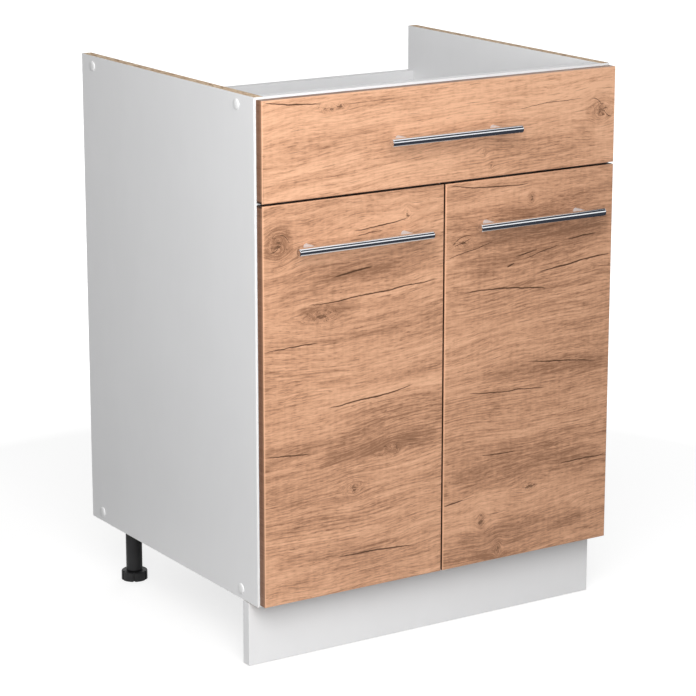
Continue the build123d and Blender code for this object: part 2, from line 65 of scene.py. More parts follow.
MM = 0.001
WELD = 0.002 * MM
FLAT = math.radians(0.3)
SHARP = math.radians(32)
SQUARE = math.radians(60)
DOME_STEPS = 10
BAR_END_STEPS = 5
NOTHING = 0.0
ORIGIN = (0.0, 0.0, 0.0)
X_AXIS, Y_AXIS, Z_AXIS = range(3)

# What polished metal mirrors: a pale floor near by, and a dark studio with a bright strip and a
# bright ceiling. The pale floor ends between two distances from the middle, in metres. The strip
# and the ceiling begin or end between two heights, from 0 straight down to 1 straight up.
DARK_STUDIO = (0.05, 0.055, 0.07)
BRIGHT_STUDIO = (1.25, 1.25, 1.25)
MIRRORED_FLOOR = (0.50, 0.72)
STRIP_FOOT = (0.54, 0.57)
STRIP_HEAD = (0.74, 0.71)
CEILING = (0.89, 0.91)
FLOOR_HALF = 14

# Oak grain, in waves a metre: along the grain, by the front's seed, across the grain
BEND_WAVES = (2.6, 1, 5.5)
BAND_WAVES = (1.6, 1, 14)
STREAK_WAVES = (5, 1, 75)
THREAD_WAVES = (19, 1, 250)
RIPPLE_WAVES = (190, 1, 40)
DOT_WAVES = (90, 1, 620)
LINE_PATCH_WAVES = (3.2, 1, 8.0)
HAIR_WAVES = (9, 1, 130)
HAIR_PATCH_WAVES = (14, 1, 34)
SMALL_CRACK_CELLS = (21, 1, 75)

# How far the grain bends, in metres, how it falls along a front, and its growth lines
GRAIN_BEND = 0.065
GRAIN_FALL = -0.05
LINE_TURNS = 1350.0
LINE_SWAY = 11.0
MIDDLE_TONE = 0.535

# Chips of a raw edge, longer along the board and flatter across its thickness
CHIP_STRETCH = 0.26
CHIP_SQUASH = 1.3

# A knot, in parts of its half size
KNOT_PARTING = -1.2
KNOT_SPREAD = 0.5
KNOT_RAGGED = 5.0
KNOT_HEART = 0.38
KNOT_RINGS = 11.0
KNOT_SWIRL = (1.9, 0.4)


def colour_setting(name, description, default):
    return FloatVectorProperty(
        name=name, description=description, subtype="COLOR", size=3, min=0, max=1, default=default
    )


def length_setting(name, description, default):
    return FloatProperty(
        name=name,
        description=description,
        subtype="DISTANCE",
        unit="LENGTH",
        min=0,
        default=default,
    )


def angle_setting(name, description, degrees):
    return FloatProperty(
        name=name,
        description=description,
        subtype="ANGLE",
        unit="ROTATION",
        default=math.radians(degrees),
    )


def level_setting(name, description, default):
    return FloatProperty(name=name, description=description, min=0, default=default)


def power_setting(name, description, default):
    return FloatProperty(
        name=name, description=description, subtype="POWER", unit="POWER", min=0, default=default
    )


def place_setting(name, description, default):
    return FloatVectorProperty(
        name=name,
        description=description,
        subtype="TRANSLATION",
        unit="LENGTH",
        size=3,
        default=default,
    )


def share_setting(name, description, default):
    return FloatProperty(
        name=name, description=description, subtype="FACTOR", min=0, max=1, default=default
    )


class OakFinish(bpy.types.PropertyGroup):
    """The oak-look foil on the fronts"""

    # The pale grain colour also paints the highlight along the rounded front edges.
    pale: colour_setting("Pale grain", "Lightest streaks of the oak", (0.83, 0.480, 0.300))
    tan: colour_setting("Tan grain", "Most of the oak", (0.62, 0.335, 0.200))
    brown: colour_setting("Brown grain", "Dark bands of the oak", (0.31, 0.155, 0.086))
    crack: colour_setting("Cracks", "Cracks and the hearts of the knots", (0.075, 0.032, 0.014))
    edge: colour_setting("Edges", "Foil on the sides of the fronts", (0.13, 0.051, 0.024))
    # Painted shade: this dark colour stands in for the shade in the gaps between the fronts.
    joint: colour_setting("Joint shade", "Edges that face another front", (0.045, 0.019, 0.010))
    roughness: share_setting("Roughness", "Roughness of the foil", 0.46)


class BoardFinish(bpy.types.PropertyGroup):
    """White laminated chipboard"""

    white: colour_setting("Laminate", "White skin of the boards", (0.86, 0.86, 0.865))
    strip: colour_setting("Edge strip", "White strip on the front edges", (0.88, 0.88, 0.88))
    chip_pale: colour_setting("Pale chips", "Lightest chips in a raw edge", (0.90, 0.74, 0.55))
    chip_tan: colour_setting("Tan chips", "Most chips in a raw edge", (0.74, 0.54, 0.36))
    chip_dark: colour_setting("Dark chips", "Bark and gaps in a raw edge", (0.34, 0.20, 0.115))
    skin: length_setting("Skin", "Thickness of the laminate", 0.0006)
    roughness: share_setting("Roughness", "Roughness of the laminate", 0.42)


class FittingFinish(bpy.types.PropertyGroup):
    """Metal and plastic fittings"""

    chrome: colour_setting("Chrome", "Bars of the handles", (0.80, 0.81, 0.83))
    silver: colour_setting("Silver", "Lacquered posts of the handles", (0.78, 0.80, 0.83))
    nickel: colour_setting("Nickel", "Pressed steel of the hinges", (0.62, 0.60, 0.56))
    zinc: colour_setting("Zinc", "Screws and cam fittings", (0.60, 0.62, 0.64))
    black: colour_setting("Black plastic", "Legs, clips and spacers", (0.016, 0.016, 0.017))
    cap: colour_setting("White plastic", "Screw caps", (0.88, 0.88, 0.88))
    clear: colour_setting("Clear plastic", "Bumpers behind the doors", (0.80, 0.83, 0.84))
    beech: colour_setting("Beech", "Dowels", (0.66, 0.47, 0.29))


class EdgeSizes(bpy.types.PropertyGroup):
    """How far the edges of the pieces are eased"""

    board: length_setting("Board", "Rounding of a board's edges", 0.0005)
    strip: length_setting("Edge strip", "Rounding of an edge strip", 0.0003)
    moulding: length_setting("Moulding", "Rounding of moulded plastic", 0.0006)
    sheet: length_setting("Sheet", "Rounding of pressed steel", 0.00025)
    bar_end: length_setting("Bar end", "Rounding of a handle bar's ends", 0.0018)
    round_steps: IntProperty(
        name="Round steps", description="Facets round a turned piece", min=12, default=72
    )


class StageSettings(bpy.types.PropertyGroup):
    """Camera, floor and light"""

    azimuth: angle_setting("Azimuth", "Turn of the camera from straight in front", -32.65)
    elevation: angle_setting("Elevation", "Rise of the camera above the level of its aim", 14.32)
    distance: length_setting("Distance", "Camera to its aim", 4.029)
    aim_depth: length_setting("Aim depth", "Depth of the camera's aim", 0.0115)
    aim_height: length_setting("Aim height", "Height of the camera's aim", 0.3796)
    lens: FloatProperty(
        name="Lens",
        description="Focal length in millimetres",
        subtype="DISTANCE_CAMERA",
        default=138.6,
    )
    floor: colour_setting("Floor", "Colour of the floor", (0.93, 0.93, 0.93))
    bounce: share_setting("Bounce", "Share of the floor's colour that lights the object", 0.42)
    glow: level_setting("Glow", "Floor's own light to the camera", 1.28)
    glow_share: share_setting("Glow share", "Share of the glow beside the object", 0.56)
    glow_start: length_setting("Glow start", "Middle to where the shadow begins to fade", 0.5)
    glow_full: length_setting("Glow full", "Middle to where the floor is all white", 1.4)
    ambient: level_setting("Ambient", "Light from all round", 0.325)
    softbox: power_setting("Softbox", "Power of the softbox at the front left", 46)
    softbox_place: place_setting("Softbox place", "Where the softbox stands", (-1.13, -1.66, 1.32))
    fill: power_setting("Fill", "Power of the fill behind on the right", 20)
    fill_place: place_setting("Fill place", "Where the fill stands", (1.9, 1.7, 1.2))
    lamp_size: length_setting("Lamp size", "Side of each square lamp", 1.5)
    lamp_aim: place_setting("Lamp aim", "Where the lamps point", (-0.1, -0.2, 0.42))


class CabinetSettings(bpy.types.PropertyGroup):
    """All settings of the cabinet"""

    oak: PointerProperty(type=OakFinish)
    board: PointerProperty(type=BoardFinish)
    fitting: PointerProperty(type=FittingFinish)
    edge: PointerProperty(type=EdgeSizes)
    stage: PointerProperty(type=StageSettings)


def settings():
    return bpy.context.scene.cabinet


# Node trees


class Wiring:
    """Short calls for the nodes of one shader tree."""

    def __init__(self, tree):
        self.tree = tree

    def feed(self, socket, value):
        if isinstance(value, bpy.types.NodeSocket):
            self.tree.links.new(value, socket)
        elif socket.type == "RGBA":
            socket.default_value = (*value[:3], 1)
        else:
            socket.default_value = value

    def add(self, kind, inputs, **options):
        node = self.tree.nodes.new(kind)
        for key, value in options.items():
            setattr(node, key, value)
        for key, value in inputs.items():
            self.feed(node.inputs[key], value)
        return node

    def math(self, operation, *values):
        inputs = dict(enumerate(values))
        return self.add("ShaderNodeMath", inputs, operation=operation).outputs[0]

    def vector(self, operation, *values):
        inputs = dict(enumerate(values))
        return self.add("ShaderNodeVectorMath", inputs, operation=operation).outputs[0]

    def split(self, vector):
        return self.add("ShaderNodeSeparateXYZ", {0: vector}).outputs

    def join(self, x, y, z):
        return self.add("ShaderNodeCombineXYZ", {0: x, 1: y, 2: z}).outputs[0]

    def fade(self, value, low, high):
        """0 at low and 1 at high, with a soft run between."""
        inputs = {0: value, 1: low, 2: high}
        return self.add("ShaderNodeMapRange", inputs, interpolation_type="SMOOTHSTEP").outputs[0]

    def mix(self, factor, first, second):
        """Two colours mixed. The node's colour sockets share their names with its other kinds."""
        inputs = {0: factor, 6: first, 7: second}
        node = self.add("ShaderNodeMix", inputs, data_type="RGBA", clamp_factor=True)
        return node.outputs[2]

    def ramp(self, value, *stops):
        node = self.add("ShaderNodeValToRGB", {0: value})
        elements = node.color_ramp.elements
        for place, _ in stops[1:-1]:
            elements.new(place)
        for element, (place, colour) in zip(elements, stops):
            element.position = place
            element.color = (*colour[:3], 1)
        return node.outputs[0]

    def noise(self, vector, stretch, detail=2.0, roughness=0.5):
        """Noise of so many waves a metre along each axis, about 0.5."""
        place = self.vector("MULTIPLY", vector, stretch)
        inputs = {"Vector": place, "Scale": 1.0, "Detail": detail, "Roughness": roughness}
        return self.add("ShaderNodeTexNoise", inputs).outputs[0]

    def swing(self, vector, stretch, detail=2.0, roughness=0.5):
        """The same noise, about 0."""
        return self.math("SUBTRACT", self.noise(vector, stretch, detail, roughness), 0.5)

    def cells(self, vector, stretch):
        """Distance and colour of the nearest of scattered points, and the way here from it."""
        here = self.vector("MULTIPLY", vector, stretch)
        found = self.add("ShaderNodeTexVoronoi", {"Vector": here, "Scale": 1.0}).outputs
        away = self.vector("SUBTRACT", here, found["Position"])
        return found["Distance"], found["Color"], away

    def bump(self, height, distance):
        inputs = {"Height": height, "Distance": distance, "Strength": 1.0}
        return self.add("ShaderNodeBump", inputs).outputs[0]

    def place(self, group, **inputs):
        return self.add("ShaderNodeGroup", inputs, node_tree=group).outputs


def shader_group(name, inputs, outputs):
    """A new node group. Each input has its default, three numbers being a vector."""
    tree = bpy.data.node_groups.new(name, "ShaderNodeTree")
    for label, default in inputs.items():
        kind = "NodeSocketFloat" if isinstance(default, float) else "NodeSocketVector"
        socket = tree.interface.new_socket(name=label, in_out="INPUT", socket_type=kind)
        socket.default_value = default
    for label in outputs:
        kind = "NodeSocketColor" if label == "Color" else "NodeSocketFloat"
        tree.interface.new_socket(name=label, in_out="OUTPUT", socket_type=kind)
    given = tree.nodes.new("NodeGroupInput").outputs
    result = tree.nodes.new("NodeGroupOutput").inputs
    return Wiring(tree), given, result


def surface(name):
    """A new material, its wiring, its shader's inputs and the piece's own coordinates."""
    material = bpy.data.materials.new(name)
    material.use_nodes = True
    wiring = Wiring(material.node_tree)
    shader = material.node_tree.nodes["Principled BSDF"].inputs
    place = wiring.add("ShaderNodeTexCoord", {}).outputs["Object"]
    return material, wiring, shader, place


# Effects that several finishes share


@cache
def fine_grain():
    """Small unevenness of a moulded, laminated or plated surface, and marks of handling."""
    w, given, result = shader_group(
        "Fine Grain", {"Vector": ORIGIN, "Waves": 900.0}, ["Height", "Marks"]
    )
    place = w.vector("SCALE", given["Vector"])
    w.feed(place.node.inputs["Scale"], given["Waves"])
    w.feed(result["Height"], w.noise(place, (1, 1, 1), 2.0, 0.6))
    broad = w.noise(given["Vector"], (9, 9, 9), 3.0, 0.6)
    streaks = w.noise(given["Vector"], (45, 60, 18), 2.0, 0.5)
    w.feed(result["Marks"], w.math("MULTIPLY_ADD", streaks, 0.4, w.math("MULTIPLY", broad, 0.6)))
    return w.tree


@cache
def chipboard_core():
    """Wood chips pressed flat, seen where a board is cut."""
    board = settings().board
    w, given, result = shader_group(
        "Chipboard Core", {"Vector": ORIGIN, "Coarse": 0.5}, ["Color", "Height"]
    )
    large_far, large, _ = w.cells(given["Vector"], (420, 420, 420))
    _, small, _ = w.cells(given["Vector"], (1100, 1100, 1100))
    tone = w.mix(given["Coarse"], w.split(small)[1], w.split(large)[0])
    dust = w.swing(given["Vector"], (2600, 2600, 2600), 2.0, 0.6)
    tone = w.math("MULTIPLY_ADD", dust, 0.5, tone)
    colour = w.ramp(
        tone,
        (0.05, board.chip_dark),
        (0.38, board.chip_tan),
        (0.70, board.chip_tan),
        (0.95, board.chip_pale),
    )
    w.feed(result["Color"], colour)
    w.feed(result["Height"], w.math("SUBTRACT", tone, w.math("MULTIPLY", large_far, 0.6)))
    return w.tree


@cache
def oak_knot():
    """Grain that parts round one knot, and the knot's dark heart."""
    w, given, result = shader_group(
        "Oak Knot",
        {"Vector": ORIGIN, "Centre": ORIGIN, "Length": 0.03, "Height": 0.012, "Ragged": 0.0},
        ["Lift", "Heart", "Swirl"],
    )
    along, _, across = w.split(w.vector("SUBTRACT", given["Vector"], given["Centre"]))
    lengths = w.math("DIVIDE", along, given["Length"])
    heights = w.math("DIVIDE", across, given["Height"])
    squared = w.math(
        "ADD", w.math("MULTIPLY", lengths, lengths), w.math("MULTIPLY", heights, heights)
    )
    push = w.math("MULTIPLY", across, KNOT_PARTING)
    w.feed(result["Lift"], w.math("DIVIDE", push, w.math("ADD", squared, KNOT_SPREAD)))
    far = w.math("MULTIPLY_ADD", given["Ragged"], KNOT_RAGGED, w.math("SQRT", squared))
    w.feed(result["Heart"], w.fade(far, KNOT_HEART, 0.0))
    rings = w.fade(w.math("SINE", w.math("MULTIPLY", far, KNOT_RINGS)), -0.2, 0.9)
    w.feed(result["Swirl"], w.math("MULTIPLY", rings, w.fade(far, *KNOT_SWIRL)))
    return w.tree


@cache
def oak_line():
    """A dark line along the grain, tapering to both ends: a thin crack, or a wide soft band."""
    w, given, result = shader_group(
        "Oak Line",
        {
            "Vector": ORIGIN,
            "Start": ORIGIN,
            "Reach": 0.1,
            "Rise": 0.0,
            "Bow": 0.0,
            "Width": 0.001,
            "Blur": 0.0005,
            "Wander": 0.0,
        },
        ["Line"],
    )
    along, _, across = w.split(w.vector("SUBTRACT", given["Vector"], given["Start"]))
    share = w.math("DIVIDE", along, given["Reach"])
    room = w.math("MULTIPLY", w.math("MULTIPLY", share, 4.0), w.math("SUBTRACT", 1.0, share))
    course = w.math("MULTIPLY_ADD", share, given["Rise"], w.math("MULTIPLY", room, given["Bow"]))
    off = w.math("ABSOLUTE", w.math("SUBTRACT", across, w.math("ADD", course, given["Wander"])))
    width = w.math("MULTIPLY", w.math("SQRT", w.math("MAXIMUM", room, 0.0)), given["Width"])
    inside = w.math("DIVIDE", w.math("SUBTRACT", width, off), given["Blur"])
    w.feed(result["Line"], w.math("MULTIPLY", w.fade(inside, -1.0, 1.0), w.fade(room, 0.0, 0.25)))
    return w.tree


@cache
def oak_figure():
    """Oak grain along X: bands, streaks, threads, growth lines, pores and small cracks."""
    oak = settings().oak
    w, given, result = shader_group(
        "Oak Figure",
        {
            "Vector": ORIGIN,
            "Seed": 0.0,
            "Tone": 0.0,
            "Lift": 0.0,
            "Heart": 0.0,
            "Swirl": 0.0,
            "Crack": 0.0,
            "Shade": 0.0,
        },
        ["Color", "Height", "Gloss"],
    )
    along, _, across = w.split(given["Vector"])
    across = w.math("ADD", across, given["Lift"])
    plain = w.join(along, given["Seed"], across)
    across = w.math("MULTIPLY_ADD", w.swing(plain, BEND_WAVES), GRAIN_BEND, across)
    across = w.math("MULTIPLY_ADD", along, GRAIN_FALL, across)
    grain = w.join(along, given["Seed"], across)
    bands = w.swing(grain, BAND_WAVES, 3.0, 0.6)
    streaks = w.swing(grain, STREAK_WAVES, 3.0, 0.65)
    threads = w.swing(grain, THREAD_WAVES, 3.0, 0.7)
    phase = w.math("MULTIPLY_ADD", across, LINE_TURNS, w.math("MULTIPLY", streaks, LINE_SWAY))
    lines = w.fade(w.math("SINE", phase), 0.1, 1.0)
    lines = w.math("MULTIPLY", lines, w.fade(w.noise(plain, LINE_PATCH_WAVES), 0.42, 0.62))
    ripple = w.swing(grain, RIPPLE_WAVES)
    contour = w.math("ABSOLUTE", w.swing(grain, HAIR_WAVES, 3.0, 0.6))
    patches = w.fade(w.noise(plain, HAIR_PATCH_WAVES), 0.46, 0.60)
    hairs = w.math("MULTIPLY", w.fade(contour, 0.022, 0.004), patches)
    dots = w.swing(grain, DOT_WAVES, 2.0, 0.6)
    pores = w.fade(dots, 0.09, 0.19)
    tone = w.math("ADD", given["Tone"], MIDDLE_TONE)
    for effect, weight in (
        (bands, 0.8),
        (streaks, 0.75),
        (threads, 1.0),
        (dots, -0.7),
        (pores, -0.10),
        (ripple, 0.25),
        (lines, -0.17),
        (hairs, -0.25),
        (given["Shade"], -0.24),
        (given["Swirl"], -0.34),
    ):
        tone = w.math("MULTIPLY_ADD", effect, weight, tone)
    base = w.ramp(tone, (0.1, oak.brown), (0.5, oak.tan), (0.9, oak.pale))
    _, chance, away = w.cells(grain, SMALL_CRACK_CELLS)
    reach, _, aside = w.split(away)
    lucky = w.fade(w.split(chance)[0], 0.66, 0.9)
    slim = w.math("SUBTRACT", 0.028, w.math("MULTIPLY", w.math("MULTIPLY", reach, reach), 0.30))
    small = w.math("SUBTRACT", w.math("MULTIPLY", slim, lucky), w.math("ABSOLUTE", aside))
    small = w.fade(small, -0.016, 0.016)
    shade = w.mix(w.math("MULTIPLY", small, 0.6), base, oak.crack)
    shade = w.mix(w.math("MULTIPLY", given["Heart"], 0.65), shade, oak.crack)
    shade = w.mix(w.math("MULTIPLY", given["Crack"], 0.95), shade, oak.crack)
    w.feed(result["Color"], shade)
    pitted = w.math("MULTIPLY", w.math("MAXIMUM", small, pores), 0.5)
    sunk = w.math("MAXIMUM", given["Crack"], pitted)
    raised = w.math("MULTIPLY_ADD", streaks, 0.5, w.math("MULTIPLY", threads, 0.5))
    w.feed(result["Height"], w.math("SUBTRACT", raised, sunk))
    w.feed(result["Gloss"], w.math("ADD", streaks, bands))
    return w.tree


# Finishes


def fine_finish(name, colour, roughness, waves, depth, metallic=0.0, tint=0.05, clear=0.0):
    """A plastic or metal with a fine surface grain and faint, darker marks of handling."""
    material, w, shader, place = surface(name)
    grain = w.place(fine_grain(), Vector=place, Waves=waves)
    darker = [channel * (1 - tint) for channel in colour]
    w.feed(shader["Base Color"], w.mix(w.fade(grain["Marks"], 0.35, 0.65), darker, colour))
    marks = w.math("SUBTRACT", grain["Marks"], 0.5)
    w.feed(shader["Roughness"], w.math("MULTIPLY_ADD", marks, 0.35 * roughness, roughness))
    w.feed(shader["Normal"], w.bump(grain["Height"], depth))
    shader["Metallic"].default_value = metallic
    shader["Transmission Weight"].default_value = clear
    return material


@cache
def chrome():
    return fine_finish(
        "polished chrome",
        settings().fitting.chrome,
        roughness=0.09,
        waves=350.0,
        depth=0.004 * MM,
        metallic=1.0,
        tint=0.04,
    )


@cache
def silver_lacquer():
    return fine_finish(
        "silver lacquer",
        settings().fitting.silver,
        roughness=0.42,
        waves=900.0,
        depth=0.01 * MM,
        metallic=0.35,
    )


@cache
def nickel():
    return fine_finish(
        "nickel plate",
        settings().fitting.nickel,
        roughness=0.30,
        waves=1600.0,
        depth=0.02 * MM,
        metallic=1.0,
        tint=0.14,
    )


@cache
def zinc():
    return fine_finish(
        "zinc plate",
        settings().fitting.zinc,
        roughness=0.34,
        waves=1300.0,
        depth=0.02 * MM,
        metallic=1.0,
        tint=0.18,
    )


@cache
def black_plastic():
    return fine_finish(
        "black moulded plastic",
        settings().fitting.black,
        roughness=0.45,
        waves=1500.0,
        depth=0.04 * MM,
        tint=0.25,
    )


@cache
def white_plastic():
    return fine_finish(
        "white moulded plastic",
        settings().fitting.cap,
        roughness=0.36,
        waves=1100.0,
        depth=0.01 * MM,
        tint=0.03,
    )


@cache
def clear_plastic():
    return fine_finish(
        "clear soft plastic",
        settings().fitting.clear,
        roughness=0.28,
        waves=700.0,
        depth=0.02 * MM,
        clear=0.55,
    )


@cache
def strip_plastic():
    return fine_finish(
        "white edge strip",
        settings().board.strip,
        roughness=0.38,
        waves=1000.0,
        depth=0.01 * MM,
        tint=0.02,
    )


@cache
def beech():
    """Plain straight-grained dowel wood, along X."""
    material, w, shader, place = surface("beech dowel")
    colour = settings().fitting.beech
    fibres = w.noise(place, (30, 700, 700), 3.0, 0.6)
    flecks = w.fade(w.noise(place, (160, 1500, 1500), 2.0, 0.5), 0.6, 0.7)
    darker, darkest = [channel * 0.72 for channel in colour], [channel * 0.45 for channel in colour]
    base = w.ramp(fibres, (0.3, darker), (0.7, colour))
    w.feed(shader["Base Color"], w.mix(w.math("MULTIPLY", flecks, 0.5), base, darkest))
    w.feed(shader["Normal"], w.bump(fibres, 0.1 * MM))
    shader["Roughness"].default_value = 0.7
    return material


def laminate(w, place):
    """White skin of a board: its colour, height and roughness."""
    board = settings().board
    grain = w.place(fine_grain(), Vector=place, Waves=1400.0)
    grey = [channel * 0.985 for channel in board.white]
    colour = w.mix(w.fade(grain["Marks"], 0.3, 0.7), grey, board.white)
    rough = w.math("MULTIPLY_ADD", w.math("SUBTRACT", grain["Marks"], 0.5), 0.16, board.roughness)
    return colour, w.math("MULTIPLY", grain["Height"], 0.12), rough


def white_board(name, raw_edges, thickness_axis, middle, mirrored=False):
    """Laminated chipboard. Raw edges are (axis, which end, place): chips show past that place.

    The middle is that of the board's thickness. Mirrored boards stand at it on both sides.
    """
    board = settings().board
    material, w, shader, place = surface(name)
    skin, skin_height, skin_rough = laminate(w, place)
    axes = w.split(place)
    ragged = w.math("MULTIPLY", w.noise(place, (700, 700, 700), 2.0, 0.6), board.skin)
    cut = NOTHING
    for axis, end, edge in raw_edges:
        past = w.math("MULTIPLY", w.math("SUBTRACT", axes[axis], edge - end * board.skin), end)
        past = w.math("SUBTRACT", past, ragged)
        cut = w.math("MAXIMUM", cut, w.fade(past, -0.1 * MM, 0.1 * MM))
    across = axes[thickness_axis]
    if mirrored:
        across = w.math("ABSOLUTE", across)
    depth = w.math("ABSOLUTE", w.math("SUBTRACT", across, middle))
    half = BOARD / 2
    cut = w.math("MULTIPLY", cut, w.fade(w.math("ADD", depth, ragged), half, half - board.skin))
    stretch = [CHIP_STRETCH] * 3
    stretch[thickness_axis] = CHIP_SQUASH
    chips_at = w.vector("MULTIPLY", place, stretch)
    coarse = w.fade(depth, half * 0.8, half * 0.4)
    core = w.place(chipboard_core(), Vector=chips_at, Coarse=coarse)
    w.feed(shader["Base Color"], w.mix(cut, skin, core["Color"]))
    w.feed(shader["Roughness"], w.math("MAXIMUM", skin_rough, w.math("MULTIPLY", cut, 0.85)))
    rough_cut = w.math("MULTIPLY", w.math("MULTIPLY", core["Height"], cut), 1.2)
    w.feed(shader["Normal"], w.bump(w.math("ADD", skin_height, rough_cut), 0.15 * MM))
    return material


def oak_front(name, node, seed, tone, knots, cracks, bands):
    """Oak-look foil on the face and edges of a front, with white laminate behind, a painted
    highlight along the rounded front edges and painted shade at the joints.
    """
    oak = settings().oak
    material, w, shader, place = surface(name)
    low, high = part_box(node)
    ragged = w.swing(place, (95, 1, 220), 3.0, 0.65)
    sway = w.swing(place, (14, 1, 5))
    wander = w.math("MULTIPLY_ADD", sway, 10 * MM, w.math("MULTIPLY", ragged, 2.2 * MM))
    lift, heart, swirl = (NOTHING,) * 3
    for along, up, length, height in knots:
        centre = (low.x + along * MM, low.y, low.z + up * MM)
        knot = w.place(
            oak_knot(),
            Vector=place,
            Centre=centre,
            Length=length * MM,
            Height=height * MM,
            Ragged=ragged,
        )
        lift = w.math("ADD", lift, knot["Lift"])
        heart = w.math("MAXIMUM", heart, knot["Heart"])
        swirl = w.math("MAXIMUM", swirl, knot["Swirl"])

    def drawn(lines, softness):
        total = NOTHING
        for along, up, reach, rise, bow, width in lines:
            line = w.place(
                oak_line(),
                Vector=place,
                Start=(low.x + along * MM, low.y, low.z + up * MM),
                Reach=reach * MM,
                Rise=rise * MM,
                Bow=bow * MM,
                Width=width * MM,
                Blur=width * softness * MM,
                Wander=wander,
            )
            total = w.math("MAXIMUM", total, line["Line"])
        return total

    figure = w.place(
        oak_figure(),
        Vector=place,
        Seed=seed,
        Tone=tone,
        Lift=lift,
        Heart=heart,
        Swirl=swirl,
        Crack=drawn(cracks, 0.5),
        Shade=drawn(bands, 1.3),
    )
    along, depth, up = w.split(place)
    # Painted shade in the gaps between the fronts: edges within a few millimetres of a joint are
    # mixed towards the dark joint colour.
    joint = w.math("ABSOLUTE", w.math("SUBTRACT", up, JOINT_LEVEL))
    if node != "drawer_front":
        joint = w.math("MINIMUM", joint, w.math("ABSOLUTE", along))
    round_end = low.y + FRONT_ROUNDING
    on_edge = w.fade(depth, round_end - 0.6 * MM, round_end + 0.8 * MM)
    off_face = w.fade(depth, low.y + 0.1 * MM, low.y + 1.0 * MM)
    # Painted highlight: the rounded front edges are mixed towards the pale grain colour, standing
    # in for the light they catch.
    painted_highlight_mask = w.math("MULTIPLY", off_face, w.math("SUBTRACT", 1.0, on_edge))
    face = w.mix(w.math("MULTIPLY", painted_highlight_mask, 0.7), figure["Color"], oak.pale)
    edge = w.mix(w.fade(depth, round_end, round_end + 6 * MM), oak.brown, oak.edge)
    edge = w.mix(0.8, figure["Color"], edge)
    edge = w.mix(w.fade(joint, 6 * MM, 3 * MM), edge, oak.joint)
    foil = w.mix(on_edge, face, edge)
    back, back_height, back_rough = laminate(w, place)
    behind = w.fade(depth, high.y - 0.3 * MM, high.y - 0.1 * MM)
    w.feed(shader["Base Color"], w.mix(behind, foil, back))
    rough = w.math("MULTIPLY_ADD", figure["Gloss"], -0.3, oak.roughness)
    w.feed(shader["Roughness"], w.mix(behind, rough, back_rough))
    w.feed(shader["Normal"], w.bump(w.mix(behind, figure["Height"], back_height), 0.14 * MM))
    return material


# Shapes


def merged_copy(node):
    """A mesh of a node's own shape, with its triangles joined and its flat faces made whole."""
    bm = bmesh.new()
    bm.from_mesh(frame["nodes"][node].data)
    bmesh.ops.remove_doubles(bm, verts=bm.verts, dist=WELD)
    bmesh.ops.dissolve_limit(bm, angle_limit=FLAT, verts=bm.verts, edges=bm.edges)
    return bm


def ease(bm, edges, width, segments=2):
    """Rounds edges over."""
    bmesh.ops.bevel(
        bm,
        geom=edges,
        offset=width,
        offset_type="OFFSET",
        segments=segments,
        profile=0.5,
        affect="EDGES",
        material=-1,
        clamp_overlap=True,
    )


def corner_edges(bm, low, high):
    """The edges that lie along the edges of a box."""
    near = 0.02 * MM

    def on_box_edge(edge):
        walls = 0
        for axis in range(3):
            for wall in (low[axis], high[axis]):
                walls += all(abs(vert.co[axis] - wall) < near for vert in edge.verts)
        return walls >= 2

    return [edge for edge in bm.edges if on_box_edge(edge)]


def sharp_edges(bm):
    return [edge for edge in bm.edges if edge.is_manifold and edge.calc_face_angle() > SQUARE]


def turned(bm, profile, centre, axis, steps):
    """Spins an open profile of (along, radius) points into a closed turned shape."""
    axis = Vector(axis).normalized()
    aside = axis.orthogonal().normalized()
    points = [Vector(centre) + axis * along + aside * radius for along, radius in profile]
    verts = [bm.verts.new(point) for point in points]
    edges = [bm.edges.new(pair) for pair in zip(verts, verts[1:])]
    bmesh.ops.spin(
        bm, geom=verts + edges, cent=centre, axis=axis, angle=math.tau, steps=steps, use_merge=True
    )
    bmesh.ops.remove_doubles(bm, verts=bm.verts, dist=WELD)
    bmesh.ops.recalc_face_normals(bm, faces=bm.faces)


def show(bm, name, material, *nodes):
    """Makes a piece of a finished mesh, in place of its nodes and on their body."""
    mesh = bpy.data.meshes.new(name)
    bm.to_mesh(mesh)
    bm.free()
    mesh.materials.append(material)
    mesh.shade_smooth()
    mesh.set_sharp_from_angle(angle=SHARP)
    piece = bpy.data.objects.new(name, mesh)
    bpy.context.scene.collection.objects.link(piece)
    even = piece.modifiers.new("even shading", "WEIGHTED_NORMAL")
    even.keep_sharp = True
    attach(piece, BODY_OF[nodes[0]])
    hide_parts(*nodes)


def show_board(node, material, width):
    """A board with its outer edges eased."""
    bm = merged_copy(node)
    ease(bm, corner_edges(bm, *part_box(node)), width)
    show(bm, f"{node}_eased", material, node)


def show_fitting(node, material, width):
    """A fitting with all its sharp edges eased."""
    bm = merged_copy(node)
    ease(bm, sharp_edges(bm), width)
    show(bm, f"{node}_eased", material, node)


def show_plain(node, material):
    """A piece in its own shape."""
    show(merged_copy(node), f"{node}_finished", material, node)


# Sizes of the construction model. Two radii are given, and the rest is read from it.

